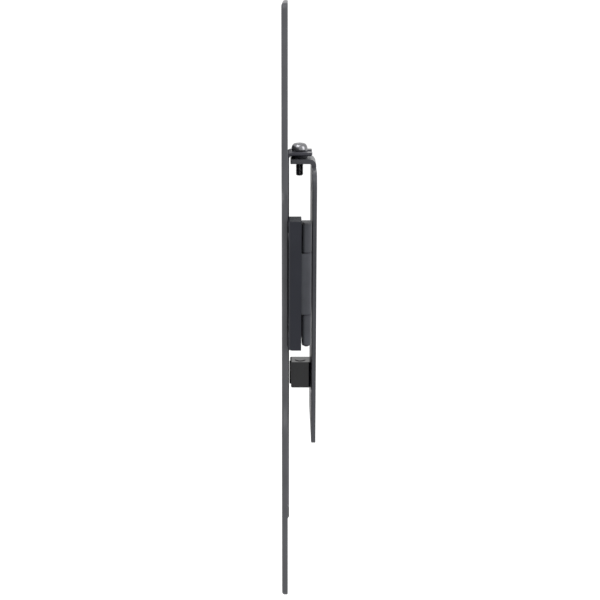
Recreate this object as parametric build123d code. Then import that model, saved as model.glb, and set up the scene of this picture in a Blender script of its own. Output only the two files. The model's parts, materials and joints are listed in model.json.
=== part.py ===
from build123d import *
import math
import os

# Full motion TV wall mount, folded flat against the wall.
# Millimetres, +Z up. The wall is the plane Y = 0 and the television hangs on the -Y side.
# The origin is the centre of the wall plate's back face.

# ---- Driving dimensions -------------------------------------------------------------------

# wall plate
WALL_HALF_W = 42.0        # half width of the wall plate
WALL_HALF_H = 109.5       # half height of the wall plate, with its lip
WALL_SHOULDER_Z = 103.5   # top of the wide part, below the lip
WALL_CORNER_R = 12.0
WALL_FOOT_R = 2.5         # rounding of the two lower corners
WALL_SHEET = 3.4          # sheet thickness of the wall plate
WALL_EDGE_R = 0.8         # rounding of its front edges
LIP_HALF_W = 12.5         # half width of the lip at the top
LIP_FRONT = -19.6         # front edge of the lip
STUD_HOLE_R = 4.5         # two holes on the centre line, for 8 mm coach bolts
STUD_HOLE_Z = 87.0
ANCHOR_HOLE_R = 3.25      # four corner holes, for 6 mm anchors
ANCHOR_HOLE_X = 30.0
ANCHOR_HOLE_Z = 92.0

# layers from the wall to the television (Y of each layer's back and front)
GAP = 0.3                 # running gap between layers
REAR_ARM_BACK = -5.1
REAR_ARM_T = 6.7          # thickness of the rear arm
FRONT_ARM_T = 8.2         # thickness of the front arm
HEAD_SHEET = 2.6          # sheet thickness of the head plate
TV_EDGE_BACK = -21.6      # back of the television plate's rim
TV_FACE = -25.9           # face that the television is bolted to
TV_SHEET = 2.3            # sheet thickness of the television plate

# hinge axes (all upright)
SHOULDER_X = -35.0
ELBOW_X = 98.0
SWIVEL_X = -35.0

# heights of the arms: each stands taller at its elbow end
REAR_TOP, REAR_LOW_TOP, REAR_BOTTOM = 77.6, 51.3, -9.3
FRONT_TOP, FRONT_LOW_TOP, FRONT_BOTTOM = 78.6, 52.5, -12.3
TALL_L = 15.0                         # length of the tall end, from the elbow axis
RAMP_L = 12.0                         # length of the ramp beside it
ELBOW_MID = (13.0, 57.0)              # bottom and top of the elbow's middle knuckle
END_MID = (9.0, 33.0)                 # the same at the shoulder and the swivel
WASHER_SPACE = 1.0                    # space for a washer between two knuckles
WASHER_T = 0.8
PIN_R = 2.0
PIN_HOLE_R = 2.05
PIN_HEAD_H = 1.2
CLIP_T = 0.8

# head plate and tilt hinge
TV_Z = 10.5               # height of the television plate's centre
UPPER_SPINE_HALF_W = 12.5 # half width of the head plate above the arms, and of its tab
SPINE_HALF_W = 20.0       # half width of the head plate below the arms
HEAD_RIGHT = 38.0         # right edge of the head plate beside the arms
TILT_Y = -23.2
TILT_Z = TV_Z - 187.0
TILT_R = 2.6              # outside radius of the tilt knuckle
TILT_PIN_R = 1.3
TILT_HOLE_R = 1.35
TILT_PIN_HEAD_R = 2.5
TILT_HALF_L = 21.0        # half length of the tilt knuckle
EAR_T = 2.8

# tab on the head plate, spacer and parking screw
TAB_BOTTOM = 112.0
TAB_BACK = -3.0
SCREW_Y = -12.6
SCREW_R = 3.0             # M6
SPACER_R = 6.2
SPACER_H = 2.2
SCREW_TIP = 95.7
SCREW_HEAD_R = 6.2
SCREW_HEAD_H = 5.6

# television plate
TV_HALF_W = 110.0
TV_HALF_H = 215.0
TV_WAIST_HALF_W = 95.0
WAIST_TOP, WAIST_BOTTOM = 80.0, -68.0     # straight part of the waist, from the plate's centre
WAIST_SLOPE_H = 13.0
TV_CORNER_R = 5.0
TV_RIM_W = 2.5
TV_BEND_R = 2.0           # outside radius of the rim's bend
TV_EDGE_R = 0.8           # rounding of the rim's outer back edge
VESA_SMALL_R = 2.3        # M4 screws, 100 x 100
VESA_LARGE_R = 3.3        # M6 screws, 200 wide patterns

# fold stop
STOP_HALF_W = 7.0
STOP_TOP, STOP_BOTTOM = -53.9, -75.5
STOP_FRONT = -19.8
STOP_BOSS_R = 4.2         # radius of the low round boss on top
PAD_FRONT = -20.3

# ---- Derived values -----------------------------------------------------------------------

REAR_R = REAR_ARM_T / 2
REAR_AXIS_Y = REAR_ARM_BACK - REAR_R
REAR_ARM_FRONT = REAR_ARM_BACK - REAR_ARM_T
FRONT_ARM_BACK = REAR_ARM_FRONT - GAP
FRONT_R = FRONT_ARM_T / 2
FRONT_AXIS_Y = FRONT_ARM_BACK - FRONT_R
FRONT_ARM_FRONT = FRONT_ARM_BACK - FRONT_ARM_T
HEAD_BACK = FRONT_ARM_FRONT - GAP
HEAD_FRONT = HEAD_BACK - HEAD_SHEET
BRACKET_FRONT = REAR_ARM_BACK + GAP
TV_WEB_BACK = TV_FACE + TV_SHEET
KNUCKLE_CLEAR = 0.35
TAB_TOP = TAB_BOTTOM + HEAD_SHEET
ELBOW_GAP = (ELBOW_MID[0] - WASHER_SPACE, ELBOW_MID[1] + WASHER_SPACE)   # between outer knuckles
END_GAP = (END_MID[0] - WASHER_SPACE, END_MID[1] + WASHER_SPACE)


# ---- Shape helpers ------------------------------------------------------------------------

def block(x0, x1, y0, y1, z0, z1):
    """A box between two opposite corners."""
    centre = Pos((x0 + x1) / 2, (y0 + y1) / 2, (z0 + z1) / 2)
    return centre * Box(abs(x1 - x0), abs(y1 - y0), abs(z1 - z0))


def post(x, y, z0, z1, radius):
    """An upright cylinder."""
    return Pos(x, y, (z0 + z1) / 2) * Cylinder(radius, abs(z1 - z0))


def bar_y(x, z, y0, y1, radius):
    """A cylinder along Y."""
    return Pos(x, (y0 + y1) / 2, z) * Rot(90, 0, 0) * Cylinder(radius, abs(y1 - y0))


def bar_x(y, z, x0, x1, radius):
    """A cylinder along X."""
    return Pos((x0 + x1) / 2, y, z) * Rot(0, 90, 0) * Cylinder(radius, abs(x1 - x0))


def ring(x, y, z0, z1, outer, inner):
    """An upright ring."""
    return post(x, y, z0, z1, outer) - post(x, y, z0 - 1, z1 + 1, inner)


def slot_z(x0, x1, y, z0, z1, width):
    """An upright through cell with round ends, long in X."""
    half = width / 2
    body = block(x0 + half, x1 - half, y - half, y + half, z0, z1)
    return body + post(x0 + half, y, z0, z1, half) + post(x1 - half, y, z0, z1, half)


def plate_xz(points, y0, y1):
    """A flat plate with the given outline in X and Z, between two values of Y."""
    outline = Plane.XZ * make_face(Polyline(*points, close=True))
    depth = abs(y1 - y0)
    return Pos(0, max(y0, y1), 0) * extrude(outline, depth)


def folded_yz(points, half_width, soft):
    """A folded sheet with the given side profile (Y, Z); soft lists (index, radius)."""
    profile = make_face(Polyline(*points, close=True))
    for index, radius in soft:
        y, z = points[index]
        corner = profile.vertices().sort_by_distance((y, z, 0))[0]
        profile = fillet(corner, radius)
    return extrude(Plane.YZ * profile, half_width, both=True)


def round_plate(part, radius, test=lambda c: True):
    """Round the corners of a flat plate that lies in X and Z."""
    edges = [e for e in part.edges().filter_by(Axis.Y) if test(e.center())]
    return fillet(edges, radius)


def hinge_pin(x, y, top, bottom, head_radius):
    """A headed hinge pin with a groove for its retaining ring, upright."""
    tail = bottom - CLIP_T - 1.0
    pin = post(x, y, tail, top, PIN_R) + post(x, y, top, top + PIN_HEAD_H, head_radius)
    groove = ring(x, y, bottom - CLIP_T - 0.15, bottom - 0.05, PIN_R + 1, PIN_R - 0.5)
    pin = pin - groove
    pin = chamfer(pin.edges().sort_by(Axis.Z)[0], 0.4)
    return fillet(pin.edges().group_by(Axis.Z)[-1], 0.5)


def retaining_ring(x, y, bottom, outer):
    """An E-shaped ring in the groove of a hinge pin."""
    z0, z1 = bottom - CLIP_T - 0.1, bottom - 0.1
    clip = ring(x, y, z0, z1, outer, PIN_R - 0.45)
    mouth = block(x, x + outer + 1, y - 1.0, y + 1.0, z0 - 1, z1 + 1)
    return clip - mouth


def washer_pair(x, y, middle, outer):
    """The two thrust washers above and below a hinge's middle knuckle."""
    inset = (WASHER_SPACE - WASHER_T) / 2
    bottom, top = middle[0] - WASHER_SPACE + inset, middle[1] + inset
    bore = PIN_HOLE_R + 0.05
    return Compound(children=[ring(x, y, z, z + WASHER_T, outer, bore) for z in (bottom, top)])


def arm_profile(left, right, bottom, low_top, top, y0, y1):
    """A flat arm that stands taller at its right end."""
    foot = ELBOW_X - TALL_L - RAMP_L
    outline = [(left, bottom), (right, bottom), (right, top), (ELBOW_X - TALL_L, top),
               (foot, low_top), (left, low_top)]
    arm = plate_xz(outline, y0, y1)
    return round_plate(arm, 5.0, lambda c: foot - 1 < c.X < ELBOW_X - TALL_L + 1 and c.Z > low_top - 1)


def countersunk_screw(x, z, y_face, y_tip, radius, head_radius, head_depth):
    """A flat-head screw along Y with a hexagon socket; its head is flush with y_face."""
    towards = 1 if y_tip > y_face else -1
    turn = Rot(90, 0, 0) if towards > 0 else Rot(-90, 0, 0)
    cone = Pos(x, y_face + towards * head_depth / 2, z) * turn * Cone(
        radius, head_radius, head_depth)
    shank = bar_y(x, z, y_face + towards * head_depth, y_tip, radius)
    socket_depth = head_depth * 0.75
    hexagon = extrude(RegularPolygon(radius * 0.62, 6), socket_depth)
    socket = Pos(x, y_face, z) * (Rot(-90, 0, 0) if towards > 0 else Rot(90, 0, 0)) * hexagon
    return cone + shank - socket


# ---- Wall side ----------------------------------------------------------------------------

BRACKET_SCREW_X = -13.0
BRACKET_SCREW_Z = (44.0, 28.0, 13.0, -2.0)
BRACKET_SCREW_R = 2.4
STOP_SCREW_Z = (-59.5, -69.5)
STOP_SCREW_R = 1.5
STOP_SCREW_HEAD_R = 2.9
STOP_SCREW_HEAD_H = 1.5


def make_wall_plate():
    lip_bottom = WALL_HALF_H - WALL_SHEET
    web_top = WALL_SHOULDER_Z - 2
    web = block(-WALL_HALF_W, WALL_HALF_W, 0, -WALL_SHEET, -WALL_HALF_H, WALL_SHOULDER_Z)
    web = round_plate(web, WALL_CORNER_R, lambda c: c.Z > 0)
    web = round_plate(web, WALL_FOOT_R, lambda c: c.Z < 0)
    web = fillet(web.faces().sort_by(Axis.Y)[0].edges(), WALL_EDGE_R)
    profile = [(0, web_top), (0, WALL_HALF_H), (LIP_FRONT, WALL_HALF_H),
               (LIP_FRONT, lip_bottom), (-WALL_SHEET, lip_bottom), (-WALL_SHEET, web_top)]
    fold = folded_yz(profile, LIP_HALF_W, [(1, 4.6), (4, 1.6)])
    lip_corners = [e for e in fold.edges().filter_by(Axis.Z) if abs(e.center().Y - LIP_FRONT) < 0.1]
    plate = web + fillet(lip_corners, 1.2)
    for z in (-STUD_HOLE_Z, STUD_HOLE_Z):
        plate = plate - bar_y(0, z, -20, 1, STUD_HOLE_R)
        for x in (-ANCHOR_HOLE_X, ANCHOR_HOLE_X):
            anchor_z = math.copysign(ANCHOR_HOLE_Z, z)
            plate = plate - bar_y(x, anchor_z, -WALL_SHEET - 1, 1, ANCHOR_HOLE_R)
    plate = plate - post(0, SCREW_Y, lip_bottom - 1, WALL_HALF_H + 1, SCREW_R + 0.05)
    for z in BRACKET_SCREW_Z:
        plate = plate - bar_y(BRACKET_SCREW_X, z, -WALL_SHEET - 1, 1, BRACKET_SCREW_R + 0.05)
    for z in STOP_SCREW_Z:
        plate = plate - bar_y(0, z, -WALL_SHEET - 1, 1, STOP_SCREW_R + 0.05)
        depth = STOP_SCREW_HEAD_H + 0.1
        seat = Pos(0, -depth / 2, z) * Rot(-90, 0, 0) * Cone(
            STOP_SCREW_R + 0.1, STOP_SCREW_HEAD_R + 0.2, depth)
        plate = plate - seat
    return plate


def make_shoulder_bracket():
    left = SHOULDER_X - REAR_R
    leaf = block(left, BRACKET_SCREW_X + 7, -WALL_SHEET, BRACKET_FRONT, REAR_BOTTOM, REAR_LOW_TOP)
    leaf = round_plate(leaf, 4.0, lambda c: c.X > BRACKET_SCREW_X)
    bracket = leaf
    for z0, z1 in ((END_GAP[1], REAR_LOW_TOP), (REAR_BOTTOM, END_GAP[0])):
        knuckle = post(SHOULDER_X, REAR_AXIS_Y, z0, z1, REAR_R)
        foot = block(left, SHOULDER_X + REAR_R, -WALL_SHEET, REAR_AXIS_Y, z0, z1)
        bracket = bracket + knuckle + foot
    bracket = bracket - post(SHOULDER_X, REAR_AXIS_Y, REAR_BOTTOM - 1, REAR_LOW_TOP + 1, PIN_HOLE_R)
    for z in BRACKET_SCREW_Z:
        depth = -WALL_SHEET - BRACKET_FRONT
        seat = Pos(BRACKET_SCREW_X, (BRACKET_FRONT - WALL_SHEET) / 2, z) * Rot(90, 0, 0) * Cone(
            BRACKET_SCREW_R + 0.1, BRACKET_SCREW_R + 0.1 + depth, depth)
        bracket = bracket - seat
        bracket = bracket - bar_y(BRACKET_SCREW_X, z, -WALL_SHEET + 1, BRACKET_FRONT - 1,
                                  BRACKET_SCREW_R + 0.1)
    return bracket


def make_bracket_screws():
    depth = -WALL_SHEET - BRACKET_FRONT
    screws = []
    for z in BRACKET_SCREW_Z:
        screws.append(countersunk_screw(BRACKET_SCREW_X, z, BRACKET_FRONT, -0.3,
                                        BRACKET_SCREW_R, BRACKET_SCREW_R + depth, depth))
    return Compound(children=screws)


def make_stop_block():
    side = [(-WALL_SHEET, STOP_BOTTOM), (-WALL_SHEET, STOP_TOP), (STOP_FRONT, STOP_TOP),
            (STOP_FRONT + 0.8, STOP_BOTTOM)]
    stop = folded_yz(side, STOP_HALF_W, [])
    stop = fillet([e for e in stop.edges().filter_by(Axis.Z) if e.center().Y > STOP_FRONT + 3], 1.5)
    front = [e for e in stop.edges().filter_by(Axis.X) if e.center().Y < -WALL_SHEET - 5]
    stop = fillet(front, 1.2)
    for z in STOP_SCREW_Z:
        stop = stop - bar_y(0, z, 1, -WALL_SHEET - 8.2, STOP_SCREW_R + 0.05)
    pocket = block(-STOP_HALF_W + 2, STOP_HALF_W - 2, STOP_FRONT - 1, STOP_FRONT + 1.2,
                   STOP_BOTTOM + 2.5, STOP_TOP - 2.5)
    boss = post(0, (STOP_FRONT - WALL_SHEET) / 2, STOP_TOP - 1, STOP_TOP + 0.4, STOP_BOSS_R)
    return stop - pocket + boss


def make_stop_pad():
    pad = block(-STOP_HALF_W + 2.1, STOP_HALF_W - 2.1, STOP_FRONT + 1.15, PAD_FRONT,
                STOP_BOTTOM + 2.6, STOP_TOP - 2.6)
    front = [e for e in pad.edges() if e.center().Y < PAD_FRONT + 0.1]
    return fillet(front, 0.6)


def make_stop_screws():
    return Compound(children=[
        countersunk_screw(0, z, -0.1, -WALL_SHEET - 8, STOP_SCREW_R, STOP_SCREW_HEAD_R,
                          STOP_SCREW_HEAD_H) for z in STOP_SCREW_Z])


def make_lip_spacer():
    spacer = ring(0, SCREW_Y, WALL_HALF_H, WALL_HALF_H + SPACER_H, SPACER_R, SCREW_R + 0.1)
    return chamfer(spacer.edges().filter_by(GeomType.CIRCLE).group_by(Axis.Z)[-1], 0.3)


def make_parking_screw():
    seat = TAB_TOP + GAP
    shank = post(0, SCREW_Y, SCREW_TIP, seat, SCREW_R)
    shank = chamfer(shank.edges().group_by(Axis.Z)[0], 1.0)
    head = post(0, SCREW_Y, seat, seat + SCREW_HEAD_H, SCREW_HEAD_R)
    head = fillet(head.edges().group_by(Axis.Z)[-1], 2.4)
    recess = Pos(0, SCREW_Y, seat + SCREW_HEAD_H - 2.4) * extrude(RegularPolygon(2.3, 6), 3)
    return shank + head - recess


# ---- Rear arm -----------------------------------------------------------------------------

CELL_X = ((-22.0, 4.0), (9.0, 35.0), (40.0, 64.0))
CAP_RIGHT = ELBOW_X - TALL_L - RAMP_L - 3


def make_rear_arm():
    arm = arm_profile(SHOULDER_X, ELBOW_X, REAR_BOTTOM, REAR_LOW_TOP, REAR_TOP,
                      REAR_ARM_BACK, REAR_ARM_FRONT)
    arm = arm + post(SHOULDER_X, REAR_AXIS_Y, REAR_BOTTOM, REAR_LOW_TOP, REAR_R)
    arm = arm + post(ELBOW_X, REAR_AXIS_Y, REAR_BOTTOM, REAR_TOP, REAR_R)
    cut = REAR_R + KNUCKLE_CLEAR
    deep = REAR_R + 1
    for z0, z1 in ((END_MID[1], REAR_LOW_TOP + 1), (REAR_BOTTOM - 1, END_MID[0])):
        arm = arm - block(SHOULDER_X - cut, SHOULDER_X + cut, REAR_AXIS_Y - deep,
                          REAR_AXIS_Y + deep, z0, z1)
    arm = arm - block(ELBOW_X - cut, ELBOW_X + cut, REAR_AXIS_Y - deep, REAR_AXIS_Y + deep,
                      ELBOW_GAP[0], ELBOW_GAP[1])
    for x0, x1 in CELL_X:
        arm = arm - slot_z(x0, x1, REAR_AXIS_Y, REAR_BOTTOM - 1, REAR_LOW_TOP + 1, 3.6)
    for x in (SHOULDER_X, ELBOW_X):
        arm = arm - post(x, REAR_AXIS_Y, REAR_BOTTOM - 1, REAR_TOP + 1, PIN_HOLE_R)
    return arm


def make_arm_caps(x0, x1, axis_y, thickness, top, bottom):
    inset = 0.4
    half = thickness / 2 - inset
    caps = []
    for z0, z1, outer in ((top, top + PIN_HEAD_H, -1), (bottom - PIN_HEAD_H, bottom, 0)):
        cap = slot_z(x0, x1, axis_y, z0, z1, 2 * half)
        caps.append(fillet(cap.edges().group_by(Axis.Z)[outer], 0.6))
    return Compound(children=caps)


# ---- Front arm ----------------------------------------------------------------------------

COVER_T = 1.2             # thickness of the elbow cover's end, top and bottom
COVER_FRONT_T = 0.7       # and of its front
COVER_LEFT = ELBOW_X - TALL_L + 0.5
COVER_SCREW_Z = (71.0, -2.0)
COVER_SCREW_R = 1.5
FRONT_END = ELBOW_X + REAR_R
COVER_SCREW_X = ELBOW_X - 11.5
COVER_FRONT = FRONT_ARM_FRONT - COVER_FRONT_T


def make_front_arm():
    arm = arm_profile(SWIVEL_X, FRONT_END, FRONT_BOTTOM, FRONT_LOW_TOP, FRONT_TOP,
                      FRONT_ARM_BACK, FRONT_ARM_FRONT)
    arm = arm + post(SWIVEL_X, FRONT_AXIS_Y, FRONT_BOTTOM, FRONT_LOW_TOP, FRONT_R)
    cut = FRONT_R + KNUCKLE_CLEAR
    deep = FRONT_R + 1
    for z0, z1 in ((END_MID[1], FRONT_LOW_TOP + 1), (FRONT_BOTTOM - 1, END_MID[0])):
        arm = arm - block(SWIVEL_X - cut, SWIVEL_X + cut, FRONT_AXIS_Y - deep,
                          FRONT_AXIS_Y + deep, z0, z1)
    for x0, x1 in CELL_X:
        arm = arm - slot_z(x0, x1, FRONT_AXIS_Y, FRONT_BOTTOM - 1, FRONT_LOW_TOP + 1, 3.8)
    lug = post(ELBOW_X, REAR_AXIS_Y, ELBOW_MID[0], ELBOW_MID[1], REAR_R)
    lug = lug + block(ELBOW_X - REAR_R, ELBOW_X + REAR_R, REAR_AXIS_Y, FRONT_ARM_BACK,
                      ELBOW_MID[0], ELBOW_MID[1])
    arm = arm + lug
    arm = arm - post(SWIVEL_X, FRONT_AXIS_Y, FRONT_BOTTOM - 1, FRONT_LOW_TOP + 1, PIN_HOLE_R)
    arm = arm - post(ELBOW_X, REAR_AXIS_Y, ELBOW_MID[0] - 1, ELBOW_MID[1] + 1, PIN_HOLE_R)
    for z in COVER_SCREW_Z:
        arm = arm - bar_y(COVER_SCREW_X, z, FRONT_ARM_FRONT - 1, FRONT_ARM_FRONT + 6.2,
                          COVER_SCREW_R + 0.05)
    return arm


def make_elbow_cover():
    top, bottom = FRONT_TOP + PIN_HEAD_H, FRONT_BOTTOM - PIN_HEAD_H
    right = FRONT_END + COVER_T
    shell = block(COVER_LEFT, right, FRONT_ARM_BACK, COVER_FRONT, bottom, top)
    front_right = [e for e in shell.edges().filter_by(Axis.Z)
                   if e.center().X > right - 1 and e.center().Y < FRONT_ARM_FRONT]
    shell = fillet(front_right, 3.0)
    top_bottom = [e for e in shell.edges()
                  if abs(e.center().Z - top) < 0.01 or abs(e.center().Z - bottom) < 0.01]
    shell = fillet([e for e in top_bottom
                    if e.center().Y < FRONT_ARM_BACK - 0.5 and e.center().X > COVER_LEFT + 0.5], 0.8)
    inner = block(COVER_LEFT - 1, FRONT_END, FRONT_ARM_BACK + 1, FRONT_ARM_FRONT,
                  FRONT_BOTTOM, FRONT_TOP)
    shell = shell - inner
    for z in COVER_SCREW_Z:
        shell = shell - bar_y(COVER_SCREW_X, z, COVER_FRONT - 1, FRONT_ARM_FRONT + 1,
                              COVER_SCREW_R + 0.1)
    return shell


def make_cover_screws():
    screws = []
    for z in COVER_SCREW_Z:
        shank = bar_y(COVER_SCREW_X, z, FRONT_ARM_FRONT + 6, COVER_FRONT, COVER_SCREW_R)
        head = bar_y(COVER_SCREW_X, z, COVER_FRONT, COVER_FRONT - 1.0, 2.6)
        head = fillet(head.edges().group_by(Axis.Y)[0], 0.5)
        screws.append(shank + head)
    return Compound(children=screws)


# ---- Head ---------------------------------------------------------------------------------

HEAD_UPPER_Z = 58.0       # top of the wide part of the head plate
HEAD_LOWER_Z = -22.0
EDGE_ROLL_R = 1.4         # rounding of the head plate's long back edges


def make_head_plate():
    left = SWIVEL_X - FRONT_R
    fold_z = TAB_BOTTOM - 14
    outline = [(-SPINE_HALF_W, TILT_Z), (-SPINE_HALF_W, HEAD_LOWER_Z - 20), (left, HEAD_LOWER_Z),
               (left, HEAD_UPPER_Z), (-UPPER_SPINE_HALF_W, HEAD_UPPER_Z + 16),
               (-UPPER_SPINE_HALF_W, fold_z), (UPPER_SPINE_HALF_W, fold_z),
               (UPPER_SPINE_HALF_W, HEAD_UPPER_Z + 16), (HEAD_RIGHT, HEAD_UPPER_Z),
               (HEAD_RIGHT, HEAD_LOWER_Z), (SPINE_HALF_W, HEAD_LOWER_Z - 20), (SPINE_HALF_W, TILT_Z)]
    plate = plate_xz(outline, HEAD_BACK, HEAD_FRONT)
    plate = round_plate(plate, 5.0, lambda c: TILT_Z + 5 < c.Z < fold_z - 1)
    fold = folded_yz([(HEAD_BACK, fold_z - 5), (HEAD_BACK, TAB_BOTTOM), (TAB_BACK, TAB_BOTTOM),
                      (TAB_BACK, TAB_TOP), (HEAD_FRONT, TAB_TOP), (HEAD_FRONT, fold_z - 5)],
                     UPPER_SPINE_HALF_W, [(1, 2.0), (4, 4.4)])
    back_corners = [e for e in fold.edges().filter_by(Axis.Z) if e.center().Y > TAB_BACK - 0.1]
    plate = plate + fillet(back_corners, 0.8)
    # fork slot, open towards the wall and flared to the left for the swing of the arms
    inner, mouth_left, mouth_right = SCREW_R + 0.4, SCREW_R + 3.6, SCREW_R + 1.4
    fork = [(-inner, SCREW_Y), (inner, SCREW_Y), (mouth_right, TAB_BACK + 1),
            (-mouth_left, TAB_BACK + 1)]
    flare = Pos(0, 0, TAB_BOTTOM - 1) * extrude(make_face(Polyline(*fork, close=True)), HEAD_SHEET + 2)
    plate = plate - flare - post(0, SCREW_Y, TAB_BOTTOM - 1, TAB_TOP + 1, inner)
    # the long back edges are rolled over
    sides = [e for e in plate.edges().filter_by(Axis.Z)
             if abs(e.center().Y - HEAD_BACK) < 0.01 and e.length > 10]
    plate = fillet(sides, EDGE_ROLL_R)
    for z0, z1 in ((END_GAP[1], FRONT_LOW_TOP), (FRONT_BOTTOM, END_GAP[0])):
        plate = plate + post(SWIVEL_X, FRONT_AXIS_Y, z0, z1, FRONT_R)
        plate = plate + block(left, SWIVEL_X + FRONT_R, FRONT_AXIS_Y, HEAD_FRONT, z0, z1)
    plate = plate - post(SWIVEL_X, FRONT_AXIS_Y, FRONT_BOTTOM - 1, FRONT_LOW_TOP + 1, PIN_HOLE_R)
    plate = plate + bar_x(TILT_Y, TILT_Z, -TILT_HALF_L, TILT_HALF_L, TILT_R)
    plate = plate - bar_x(TILT_Y, TILT_Z, -TILT_HALF_L - 1, TILT_HALF_L + 1, TILT_HOLE_R)
    return plate


# ---- Television plate and tilt hinge ------------------------------------------------------

# lightening windows: centre X, centre height from the plate's centre, half width, half height
WINDOWS = ((0.0, 152.0, 76.0, 40.0), (-54.0, -136.0, 22.0, 38.0), (54.0, -136.0, 22.0, 38.0))
WINDOW_CORNER_R = 12.0
EAR_IN = TILT_HALF_L + WASHER_SPACE
EAR_OUT = EAR_IN + EAR_T
EAR_BACK = TILT_Y + TILT_R
HINGE_WINDOW_HALF_H = 5.5
EAR_HALF_H = 10.0
VESA = ((50.0, 50.0, VESA_SMALL_R), (100.0, 100.0, VESA_LARGE_R),
        (100.0, 150.0, VESA_LARGE_R), (100.0, 200.0, VESA_LARGE_R))


def tv_outline(inset):
    """Waisted outline of the television plate, moved inwards by inset."""
    wide, waist = TV_HALF_W - inset, TV_WAIST_HALF_W - inset
    tall = TV_HALF_H - inset
    top, bottom = WAIST_TOP, WAIST_BOTTOM
    right = [(wide, -tall), (wide, bottom - WAIST_SLOPE_H), (waist, bottom), (waist, top),
             (wide, top + WAIST_SLOPE_H), (wide, tall)]
    left = [(-x, z) for x, z in reversed(right)]
    return [(x, z + TV_Z) for x, z in right + left]


def tv_blank(inset, y0, y1):
    """The television plate's outline as a flat piece with round corners."""
    blank = plate_xz(tv_outline(inset), y0, y1)
    tall = TV_HALF_H - inset
    corner_r = TV_CORNER_R - inset
    blank = round_plate(blank, corner_r, lambda c: abs(c.Z - TV_Z) > tall - 1)
    return round_plate(blank, 14.0, lambda c: abs(c.Z - TV_Z) < 100)


def make_tv_plate():
    plate = tv_blank(0, TV_EDGE_BACK, TV_FACE)
    plate = fillet([e for e in plate.edges() if abs(e.center().Y - TV_FACE) < 0.01], TV_BEND_R)
    plate = fillet([e for e in plate.edges() if abs(e.center().Y - TV_EDGE_BACK) < 0.01], TV_EDGE_R)
    plate = plate - tv_blank(TV_RIM_W, TV_EDGE_BACK + 1, TV_WEB_BACK)
    window_half_w = EAR_OUT + 3.5
    plate = plate - block(-window_half_w, window_half_w, TV_FACE - 1, TV_EDGE_BACK,
                          TILT_Z - HINGE_WINDOW_HALF_H, TILT_Z + HINGE_WINDOW_HALF_H)
    ear_side = [(TV_WEB_BACK - 0.5, TILT_Z - EAR_HALF_H), (TV_WEB_BACK - 0.5, TILT_Z + EAR_HALF_H),
                (EAR_BACK, TILT_Z + 4), (EAR_BACK, TILT_Z - 4)]
    for side in (-1, 1):
        ear = folded_yz(ear_side, EAR_T / 2, [(2, 1.6), (3, 1.6)])
        plate = plate + Pos(side * (EAR_IN + EAR_OUT) / 2, 0, 0) * ear
    plate = plate - bar_x(TILT_Y, TILT_Z, -EAR_OUT - 1, EAR_OUT + 1, TILT_HOLE_R)
    for x, z, radius in VESA:
        for hole_x in (-x, x):
            for hole_z in (TV_Z - z, TV_Z + z):
                plate = plate - bar_y(hole_x, hole_z, TV_FACE - 1, TV_EDGE_BACK + 1, radius)
    for x, z, half_w, half_h in WINDOWS:
        window = block(x - half_w, x + half_w, TV_FACE - 1, TV_EDGE_BACK, TV_Z + z - half_h,
                       TV_Z + z + half_h)
        plate = plate - round_plate(window, WINDOW_CORNER_R)
    return plate


def make_tilt_pin():
    pin = bar_x(TILT_Y, TILT_Z, -EAR_OUT - 2.0, EAR_OUT, TILT_PIN_R)
    head = bar_x(TILT_Y, TILT_Z, EAR_OUT, EAR_OUT + PIN_HEAD_H, TILT_PIN_HEAD_R)
    head = fillet(head.edges().group_by(Axis.X)[-1], 0.5)
    groove_left, groove_right = -EAR_OUT - CLIP_T - 0.15, -EAR_OUT - 0.05
    groove = bar_x(TILT_Y, TILT_Z, groove_left, groove_right, TILT_PIN_R + 1)
    core = bar_x(TILT_Y, TILT_Z, groove_left, groove_right, TILT_PIN_R - 0.5)
    return pin + head - (groove - core)


def make_tilt_clip():
    x0, x1 = -EAR_OUT - CLIP_T - 0.1, -EAR_OUT - 0.1
    clip = bar_x(TILT_Y, TILT_Z, x0, x1, TILT_PIN_HEAD_R)
    clip = clip - bar_x(TILT_Y, TILT_Z, x0 - 1, x1 + 1, TILT_PIN_R - 0.45)
    return clip - block(x0 - 1, x1 + 1, TILT_Y - 0.8, TILT_Y + 0.8, TILT_Z, TILT_Z + 5)


def make_tilt_washers():
    washers = []
    inset = (WASHER_SPACE - WASHER_T) / 2
    for side in (-1, 1):
        x0 = side * (TILT_HALF_L + inset)
        x1 = side * (TILT_HALF_L + inset + WASHER_T)
        washer = bar_x(TILT_Y, TILT_Z, x0, x1, TILT_R)
        washers.append(washer - bar_x(TILT_Y, TILT_Z, x0 - side, x1 + side, TILT_HOLE_R + 0.05))
    return Compound(children=washers)


# ---- Write one file for each piece --------------------------------------------------------

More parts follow.
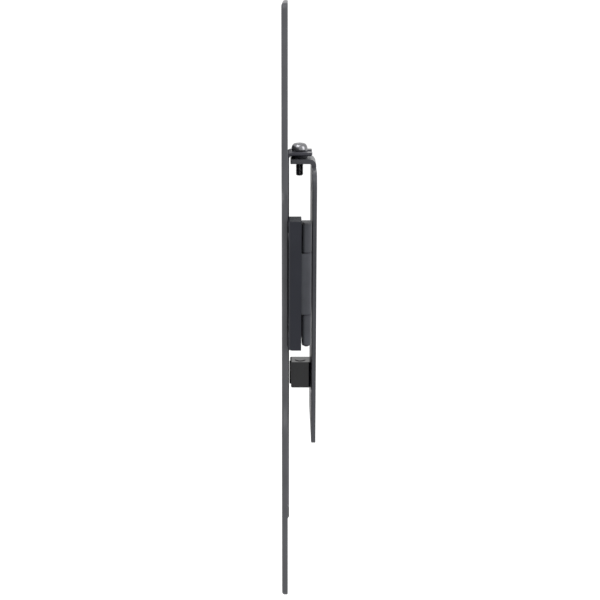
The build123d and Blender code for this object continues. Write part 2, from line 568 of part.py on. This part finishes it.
PIECES = {
    "wall_plate": make_wall_plate(),
    "shoulder_bracket": make_shoulder_bracket(),
    "bracket_screws": make_bracket_screws(),
    "shoulder_pin": hinge_pin(SHOULDER_X, REAR_AXIS_Y, REAR_LOW_TOP, REAR_BOTTOM, 3.1),
    "shoulder_pin_clip": retaining_ring(SHOULDER_X, REAR_AXIS_Y, REAR_BOTTOM, 3.1),
    "shoulder_washers": washer_pair(SHOULDER_X, REAR_AXIS_Y, END_MID, REAR_R - 0.1),
    "lip_spacer": make_lip_spacer(),
    "stop_block": make_stop_block(),
    "stop_pad": make_stop_pad(),
    "stop_screws": make_stop_screws(),
    "parking_screw": make_parking_screw(),
    "rear_arm": make_rear_arm(),
    "rear_arm_caps": make_arm_caps(SHOULDER_X + 8, CAP_RIGHT, REAR_AXIS_Y, REAR_ARM_T,
                                   REAR_LOW_TOP, REAR_BOTTOM),
    "elbow_pin": hinge_pin(ELBOW_X, REAR_AXIS_Y, REAR_TOP, REAR_BOTTOM, 3.1),
    "elbow_pin_clip": retaining_ring(ELBOW_X, REAR_AXIS_Y, REAR_BOTTOM, 3.1),
    "elbow_washers": washer_pair(ELBOW_X, REAR_AXIS_Y, ELBOW_MID, REAR_R - 0.1),
    "front_arm": make_front_arm(),
    "front_arm_caps": make_arm_caps(SWIVEL_X + 8, CAP_RIGHT, FRONT_AXIS_Y, FRONT_ARM_T,
                                    FRONT_LOW_TOP, FRONT_BOTTOM),
    "elbow_cover": make_elbow_cover(),
    "cover_screws": make_cover_screws(),
    "head_plate": make_head_plate(),
    "swivel_pin": hinge_pin(SWIVEL_X, FRONT_AXIS_Y, FRONT_LOW_TOP, FRONT_BOTTOM, 3.4),
    "swivel_pin_clip": retaining_ring(SWIVEL_X, FRONT_AXIS_Y, FRONT_BOTTOM, 3.4),
    "swivel_washers": washer_pair(SWIVEL_X, FRONT_AXIS_Y, END_MID, FRONT_R - 0.1),
    "tv_plate": make_tv_plate(),
    "tilt_pin": make_tilt_pin(),
    "tilt_pin_clip": make_tilt_clip(),
    "tilt_washers": make_tilt_washers(),
}

os.makedirs("parts", exist_ok=True)
for name, piece in PIECES.items():
    export_step(piece, f"parts/{name}.step")
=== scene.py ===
import json
import math

import bmesh
import bpy
from mathutils import Matrix, Vector


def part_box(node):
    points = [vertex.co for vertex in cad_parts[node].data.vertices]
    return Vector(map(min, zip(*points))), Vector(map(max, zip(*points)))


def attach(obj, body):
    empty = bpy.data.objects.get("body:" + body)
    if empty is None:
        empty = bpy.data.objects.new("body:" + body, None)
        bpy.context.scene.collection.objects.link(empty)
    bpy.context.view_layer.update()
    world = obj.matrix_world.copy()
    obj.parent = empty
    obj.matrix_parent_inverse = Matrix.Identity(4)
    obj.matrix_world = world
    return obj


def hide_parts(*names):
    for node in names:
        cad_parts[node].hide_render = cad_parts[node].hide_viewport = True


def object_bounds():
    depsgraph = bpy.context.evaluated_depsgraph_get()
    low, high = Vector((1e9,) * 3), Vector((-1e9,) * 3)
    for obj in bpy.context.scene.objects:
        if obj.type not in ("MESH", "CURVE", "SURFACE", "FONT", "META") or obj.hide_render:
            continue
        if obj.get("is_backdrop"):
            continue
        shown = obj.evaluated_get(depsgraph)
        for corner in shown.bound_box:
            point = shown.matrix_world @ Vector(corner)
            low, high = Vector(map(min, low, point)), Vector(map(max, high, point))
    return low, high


# Looks for the full motion television wall mount. The CAD nodes keep their shapes and get
# materials and soft edges. Only the locking screw (node parking_screw) is remade here, with a
# cross recess and a thread. Lengths are in metres, and small ones are written as so many MM.

MM = 0.001

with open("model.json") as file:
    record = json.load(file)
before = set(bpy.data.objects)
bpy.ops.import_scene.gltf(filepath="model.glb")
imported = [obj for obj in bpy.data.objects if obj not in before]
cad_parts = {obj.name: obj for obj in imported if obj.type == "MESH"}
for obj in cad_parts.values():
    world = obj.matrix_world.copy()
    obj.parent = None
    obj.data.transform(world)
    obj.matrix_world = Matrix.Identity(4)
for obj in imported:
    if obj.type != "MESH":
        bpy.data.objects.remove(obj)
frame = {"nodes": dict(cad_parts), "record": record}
cad_low, cad_high = (list(corner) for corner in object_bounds())


# ---- Camera -------------------------------------------------------------------------------

CAMERA_PLACE = (860 * MM, -21.6 * MM, 233 * MM)
CAMERA_DOWN = math.radians(15.42)
CAMERA_LENS = 67.3
CAMERA_SENSOR = 36
CAMERA_SHIFT = 0.0203  # the photograph is cropped round the object
CAMERA_NEAR = 10 * MM


def make_camera():
    """Look along -X at the mount's side, tipped down by CAMERA_DOWN."""
    data = bpy.data.cameras.new("camera")
    data.lens = CAMERA_LENS
    data.sensor_width = CAMERA_SENSOR
    data.shift_x = CAMERA_SHIFT
    data.clip_start = CAMERA_NEAR
    camera = bpy.data.objects.new("camera", data)
    face_side = Matrix.Rotation(math.pi / 2, 4, "Z")
    tip_down = Matrix.Rotation(math.pi / 2 - CAMERA_DOWN, 4, "X")
    camera.matrix_world = Matrix.Translation(CAMERA_PLACE) @ (face_side @ tip_down)
    bpy.context.collection.objects.link(camera)
    bpy.context.scene.camera = camera


# ---- Shader helpers -----------------------------------------------------------------------

# Noise stays mostly between these two values, so they are stretched to the full range.
NOISE_LOW = 0.3
NOISE_HIGH = 0.7


def new_material(name):
    material = bpy.data.materials.new(name)
    material.use_nodes = True
    tree = material.node_tree
    shader = tree.nodes["Principled BSDF"]
    return material, tree, shader


def noise(tree, scale, detail, stretch=(1, 1, 1), rough=0.55):
    coords = tree.nodes.new("ShaderNodeTexCoord")
    mapping = tree.nodes.new("ShaderNodeMapping")
    mapping.inputs["Scale"].default_value = stretch
    texture = tree.nodes.new("ShaderNodeTexNoise")
    texture.inputs["Scale"].default_value = scale
    texture.inputs["Detail"].default_value = detail
    texture.inputs["Roughness"].default_value = rough
    tree.links.new(coords.outputs["Object"], mapping.inputs["Vector"])
    tree.links.new(mapping.outputs["Vector"], texture.inputs["Vector"])
    return texture.outputs["Fac"]


def vary_colour(tree, shader, pattern, dark, light):
    ramp = tree.nodes.new("ShaderNodeValToRGB")
    ramp.color_ramp.elements[0].position = NOISE_LOW
    ramp.color_ramp.elements[1].position = NOISE_HIGH
    ramp.color_ramp.elements[0].color = (*dark, 1)
    ramp.color_ramp.elements[1].color = (*light, 1)
    tree.links.new(pattern, ramp.inputs["Fac"])
    tree.links.new(ramp.outputs["Color"], shader.inputs["Base Color"])


def vary_roughness(tree, shader, pattern, low, high):
    node = tree.nodes.new("ShaderNodeMapRange")
    node.inputs["From Min"].default_value = NOISE_LOW
    node.inputs["From Max"].default_value = NOISE_HIGH
    node.inputs["To Min"].default_value = low
    node.inputs["To Max"].default_value = high
    tree.links.new(pattern, node.inputs["Value"])
    tree.links.new(node.outputs["Result"], shader.inputs["Roughness"])


def add_bump(tree, shader, height, strength, distance):
    bump = tree.nodes.new("ShaderNodeBump")
    bump.inputs["Strength"].default_value = strength
    bump.inputs["Distance"].default_value = distance
    tree.links.new(height, bump.inputs["Height"])
    tree.links.new(bump.outputs["Normal"], shader.inputs["Normal"])


def scaled(colour, factor):
    return tuple(channel * factor for channel in colour)


# ---- Materials ----------------------------------------------------------------------------

def powder_coat(name, colour, roughness, gloss=0.25, grain=1500, bump=0.35):
    """Powder paint on steel: fine orange peel, faint cloudiness and a soft gloss."""
    material, tree, shader = new_material(name)
    cloud = noise(tree, scale=35, detail=4)
    peel = noise(tree, scale=grain, detail=2)
    vary_colour(tree, shader, cloud, scaled(colour, 0.9), scaled(colour, 1.12))
    vary_roughness(tree, shader, peel, roughness - 0.07, roughness + 0.07)
    shader.inputs["Specular IOR Level"].default_value = gloss
    add_bump(tree, shader, peel, strength=bump, distance=0.06 * MM)
    return material


def anodised(name, colour, roughness=0.36):
    """Extruded aluminium, anodised: faint upright extrusion lines."""
    material, tree, shader = new_material(name)
    lines = noise(tree, scale=900, detail=3, stretch=(1, 1, 0.01))
    cloud = noise(tree, scale=60, detail=3)
    vary_colour(tree, shader, cloud, scaled(colour, 0.85), scaled(colour, 1.15))
    vary_roughness(tree, shader, lines, roughness - 0.08, roughness + 0.08)
    shader.inputs["Metallic"].default_value = 0.15
    shader.inputs["Specular IOR Level"].default_value = 0.18
    add_bump(tree, shader, lines, strength=0.3, distance=0.03 * MM)
    return material


def plated_steel(name, colour, roughness, metallic):
    """Turned and plated steel with fine tool marks."""
    material, tree, shader = new_material(name)
    marks = noise(tree, scale=2500, detail=2, stretch=(0.15, 0.15, 1))
    stain = noise(tree, scale=220, detail=4)
    vary_colour(tree, shader, stain, scaled(colour, 0.8), scaled(colour, 1.1))
    vary_roughness(tree, shader, marks, roughness - 0.08, roughness + 0.12)
    shader.inputs["Metallic"].default_value = metallic
    add_bump(tree, shader, marks, strength=0.25, distance=0.02 * MM)
    return material


def moulded(name, colour, roughness, gloss=0.2, grain=2200, bump=0.4):
    """Moulded plastic with a fine spark-eroded texture."""
    material, tree, shader = new_material(name)
    spark = noise(tree, scale=grain, detail=3, rough=0.7)
    cloud = noise(tree, scale=50, detail=2)
    vary_colour(tree, shader, cloud, scaled(colour, 0.92), scaled(colour, 1.08))
    vary_roughness(tree, shader, spark, roughness - 0.08, roughness + 0.08)
    shader.inputs["Specular IOR Level"].default_value = gloss
    add_bump(tree, shader, spark, strength=bump, distance=0.05 * MM)
    return material


def rubber(name, colour):
    """Matt rubber with a little dust."""
    material, tree, shader = new_material(name)
    dust = noise(tree, scale=400, detail=5, rough=0.7)
    vary_colour(tree, shader, dust, colour, scaled(colour, 1.6))
    vary_roughness(tree, shader, dust, 0.75, 0.95)
    add_bump(tree, shader, dust, strength=0.5, distance=0.06 * MM)
    return material


# The pins are black here, because the photograph shows no bright pin.
MATERIALS = {
    "tv_steel": powder_coat("tv_powder", (0.053, 0.054, 0.059), 0.42),
    "wall_steel": powder_coat("wall_powder", (0.052, 0.053, 0.060), 0.34),
    "head_steel": powder_coat("head_powder", (0.038, 0.038, 0.047), 0.32),
    "arm_aluminium": anodised("arm_anodised", (0.036, 0.038, 0.044)),
    "pin_steel": plated_steel("pin_black_zinc", (0.05, 0.05, 0.055), 0.4, 0.6),
    "lock_screw_steel": plated_steel("lock_screw_black_zinc", (0.20, 0.20, 0.21), 0.2, 0.9),
    "black_screw": plated_steel("screw_black_oxide", (0.04, 0.04, 0.042), 0.38, 0.7),
    "nylon": moulded("nylon_black", (0.02, 0.02, 0.026), 0.6, grain=1200),
    # The cover plastic is black moulded plastic, darkened further as painted shade: the elbow
    # end lies in shade between the plates, yet the key light here falls straight on it.
    "cover_plastic": moulded("cover_plastic", (0.015, 0.016, 0.021), 0.45, gloss=0.12),
    "stop_plastic": moulded("stop_plastic", (0.003, 0.0045, 0.008), 0.12, gloss=0.4, bump=0.06),
    "rubber": rubber("pad_rubber", (0.02, 0.02, 0.02)),
}


# ---- CAD nodes: materials, and edges as soft as paint and moulding leave them -------------

EDGE_SOFTNESS = {
    "tv_plate": 0.45 * MM,
    "wall_plate": 0.4 * MM,
    "head_plate": 0.4 * MM,
    "shoulder_bracket": 0.3 * MM,
    "rear_arm": 0.3 * MM,
    "front_arm": 0.35 * MM,
    "elbow_cover": 0.15 * MM,
    "stop_block": 0.3 * MM,
    "stop_pad": 0.2 * MM,
}
EDGE_SEGMENTS = 3
EDGE_ANGLE = math.radians(40)


def soften_edges(piece, width):
    bevel = piece.modifiers.new("soft_edges", "BEVEL")
    bevel.width = width
    bevel.segments = EDGE_SEGMENTS
    bevel.limit_method = "ANGLE"
    bevel.angle_limit = EDGE_ANGLE
    bevel.use_clamp_overlap = True
    bevel.harden_normals = True


def dress_cad_nodes():
    slots = {entry["node"]: entry["material_slot"] for entry in frame["record"]["subparts"]}
    for name, piece in frame["nodes"].items():
        piece.data.materials.clear()
        piece.data.materials.append(MATERIALS[slots[name]])
        if name in EDGE_SOFTNESS:
            soften_edges(piece, EDGE_SOFTNESS[name])


# ---- Locking screw: pan head with a cross recess, and a rolled thread ----------------------

# The head's radius, its top and the screw's tip are read from the CAD node.
HEAD_HEIGHT = 5.6 * MM
HEAD_CHAMFER = 0.25 * MM
HEAD_SKIRT = 1.3 * MM
DOME_INSET = 3.2 * MM
DOME_STEPS = 9
HEAD_AROUND = 64

RECESS_HALF_LENGTH = 2.7 * MM
RECESS_HALF_WIDTH = 0.62 * MM
RECESS_DEPTH = 2.3 * MM
RECESS_FLOOR_LENGTH = 0.45  # of the half length at the top
RECESS_FLOOR_WIDTH = 0.7  # of the half width at the top
RECESS_RISE = 1 * MM  # the cutter's height above the crown

THREAD_R = 3 * MM
THREAD_PITCH = 1.0 * MM
THREAD_DEPTH = 0.55 * MM
THREAD_STEEPNESS = 1.25  # above 1, the groove has a flat root
THREAD_ROWS = 8  # per pitch
THREAD_AROUND = 40
THREAD_OVERLAP = 0.1 * MM  # how far the rod runs into the head
TIP_CHAMFER = 1.0 * MM


def ring_of_points(mesh, centre, height, radii):
    """One point for each radius, spread evenly about centre."""
    ring = []
    for k, radius in enumerate(radii):
        angle = 2 * math.pi * k / len(radii)
        ring.append(mesh.verts.new((centre[0] + radius * math.cos(angle),
                                    centre[1] + radius * math.sin(angle), height)))
    return ring


def revolve(name, profile, centre, steps):
    """A closed turned piece from (radius, height) points, upright about centre."""
    mesh = bmesh.new()
    rings = [ring_of_points(mesh, centre, height, [radius] * (steps if radius else 1))
             for radius, height in profile]
    for lower, upper in zip(rings, rings[1:]):
        for k in range(steps):
            a, b = lower[k % len(lower)], lower[(k + 1) % len(lower)]
            c, d = upper[(k + 1) % len(upper)], upper[k % len(upper)]
            corners = list(dict.fromkeys((a, b, c, d)))
            if len(corners) > 2:
                mesh.faces.new(corners)
    return finish_mesh(name, mesh)


def finish_mesh(name, mesh, smooth=True):
    bmesh.ops.recalc_face_normals(mesh, faces=mesh.faces)
    data = bpy.data.meshes.new(name)
    mesh.to_mesh(data)
    mesh.free()
    for polygon in data.polygons:
        polygon.use_smooth = smooth
    piece = bpy.data.objects.new(name, data)
    bpy.context.collection.objects.link(piece)
    return piece


def make_locking_screw():
    low, high = (Vector(corner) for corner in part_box("parking_screw"))
    centre = ((low.x + high.x) / 2, (low.y + high.y) / 2)
    head_r = (high.x - low.x) / 2
    seat = high.z - HEAD_HEIGHT
    profile = [
        (0, seat),
        (head_r - HEAD_CHAMFER, seat),
        (head_r, seat + HEAD_CHAMFER),
        (head_r, seat + HEAD_SKIRT),
    ]
    for k in range(1, DOME_STEPS + 1):
        angle = math.pi / 2 * k / DOME_STEPS
        profile.append((head_r - DOME_INSET * (1 - math.cos(angle)),
                        seat + HEAD_SKIRT + (HEAD_HEIGHT - HEAD_SKIRT) * math.sin(angle)))
    profile.append((0, high.z))
    head = revolve("locking_screw_head", profile, centre, HEAD_AROUND)
    cut_recess(head, centre, high.z)
    shank = threaded_rod("locking_screw_thread", centre, low.z, seat + THREAD_OVERLAP)
    for piece in (head, shank):
        piece.data.materials.append(MATERIALS["lock_screw_steel"])
        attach(piece, "lock_screw")
    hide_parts("parking_screw")


def cut_recess(head, centre, top):
    """Cut a tapered cross into the crown of the head."""
    mesh = bmesh.new()
    mouth = (top + RECESS_RISE, RECESS_HALF_LENGTH, RECESS_HALF_WIDTH)
    floor = (top - RECESS_DEPTH, RECESS_HALF_LENGTH * RECESS_FLOOR_LENGTH,
             RECESS_HALF_WIDTH * RECESS_FLOOR_WIDTH)
    for turn in (0, math.pi / 2):
        corners = []
        for height, half_l, half_w in (mouth, floor):
            for sx, sy in ((-1, -1), (1, -1), (1, 1), (-1, 1)):
                x, y = sx * half_l, sy * half_w
                corners.append(mesh.verts.new((
                    centre[0] + x * math.cos(turn) - y * math.sin(turn),
                    centre[1] + x * math.sin(turn) + y * math.cos(turn), height)))
        upper, lower = corners[:4], corners[4:]
        mesh.faces.new(upper)
        mesh.faces.new(lower[::-1])
        for k in range(4):
            mesh.faces.new((upper[k], upper[(k + 1) % 4], lower[(k + 1) % 4], lower[k]))
    cutter = finish_mesh("recess_cutter", mesh, smooth=False)
    boolean = head.modifiers.new("recess", "BOOLEAN")
    boolean.operation = "DIFFERENCE"
    boolean.solver = "EXACT"
    boolean.use_self = True
    boolean.object = cutter
    apply_modifiers(head)
    bpy.data.objects.remove(cutter)


def apply_modifiers(piece):
    graph = bpy.context.evaluated_depsgraph_get()
    finished = bpy.data.meshes.new_from_object(piece.evaluated_get(graph))
    piece.modifiers.clear()
    piece.data = finished


def threaded_rod(name, centre, z0, z1):
    """A rod with a V thread that fades out at the chamfered tip."""
    mesh = bmesh.new()
    rows = int((z1 - z0) / THREAD_PITCH * THREAD_ROWS)
    rings = []
    for row in range(rows + 1):
        z = z0 + (z1 - z0) * row / rows
        chamfered_r = THREAD_R - max(0, TIP_CHAMFER - (z - z0))
        radii = []
        for k in range(THREAD_AROUND):
            phase = ((z - z0) / THREAD_PITCH - k / THREAD_AROUND) % 1
            groove = THREAD_DEPTH * min(1.0, THREAD_STEEPNESS * (1 - abs(2 * phase - 1)))
            radii.append(min(THREAD_R - groove, chamfered_r))
        rings.append(ring_of_points(mesh, centre, z, radii))
    for lower, upper in zip(rings, rings[1:]):
        for k in range(THREAD_AROUND):
            after = (k + 1) % THREAD_AROUND
            mesh.faces.new((lower[k], lower[after], upper[after], upper[k]))
    mesh.faces.new(rings[0][::-1])
    mesh.faces.new(rings[-1])
    return finish_mesh(name, mesh)


# ---- Floor and light ----------------------------------------------------------------------

FLOOR_DROP = 600 * MM  # the mount hangs on a wall, well above the floor
FLOOR_HALF_SIZE = 12000 * MM
FLOOR_WHITE = 0.97
FLOOR_ROUGHNESS = 0.9

# The standard view transform and this strength show the background as the photograph's white.
WORLD_STRENGTH = 1.12
VIEW_TRANSFORM = "Standard"
LIGHTS = {  # places and sizes in metres, power in watts
    "key": {"place": (0.6, -0.5, 1.4), "size": (1.0, 1.0), "power": 14},
    "wall_side": {"place": (0.7, 1.2, 0.5), "size": (0.8, 1.2), "power": 10},
}


def make_floor():
    mesh = bmesh.new()
    bmesh.ops.create_grid(mesh, x_segments=1, y_segments=1, size=FLOOR_HALF_SIZE)
    floor = finish_mesh("floor", mesh, smooth=False)
    floor.location.z = cad_low[2] - FLOOR_DROP
    material, _, shader = new_material("floor_white")
    shader.inputs["Roughness"].default_value = FLOOR_ROUGHNESS
    shader.inputs["Base Color"].default_value = (FLOOR_WHITE, FLOOR_WHITE, FLOOR_WHITE, 1)
    floor.data.materials.append(material)
    floor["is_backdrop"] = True


def area_light(name, place, size, power):
    """A soft light that points at the frame's origin."""
    data = bpy.data.lights.new(name, "AREA")
    data.shape = "RECTANGLE"
    data.size, data.size_y = size
    data.energy = power
    light = bpy.data.objects.new(name, data)
    light.location = place
    light.rotation_euler = (-Vector(place)).to_track_quat("-Z", "Y").to_euler()
    bpy.context.collection.objects.link(light)


def make_light():
    world = bpy.data.worlds.new("studio")
    world.use_nodes = True
    background = world.node_tree.nodes["Background"]
    background.inputs["Color"].default_value = (1, 1, 1, 1)
    background.inputs["Strength"].default_value = WORLD_STRENGTH
    bpy.context.scene.world = world
    bpy.context.scene.view_settings.view_transform = VIEW_TRANSFORM
    for name, light in LIGHTS.items():
        area_light(name, **light)


make_camera()
dress_cad_nodes()
make_locking_screw()
make_floor()
make_light()
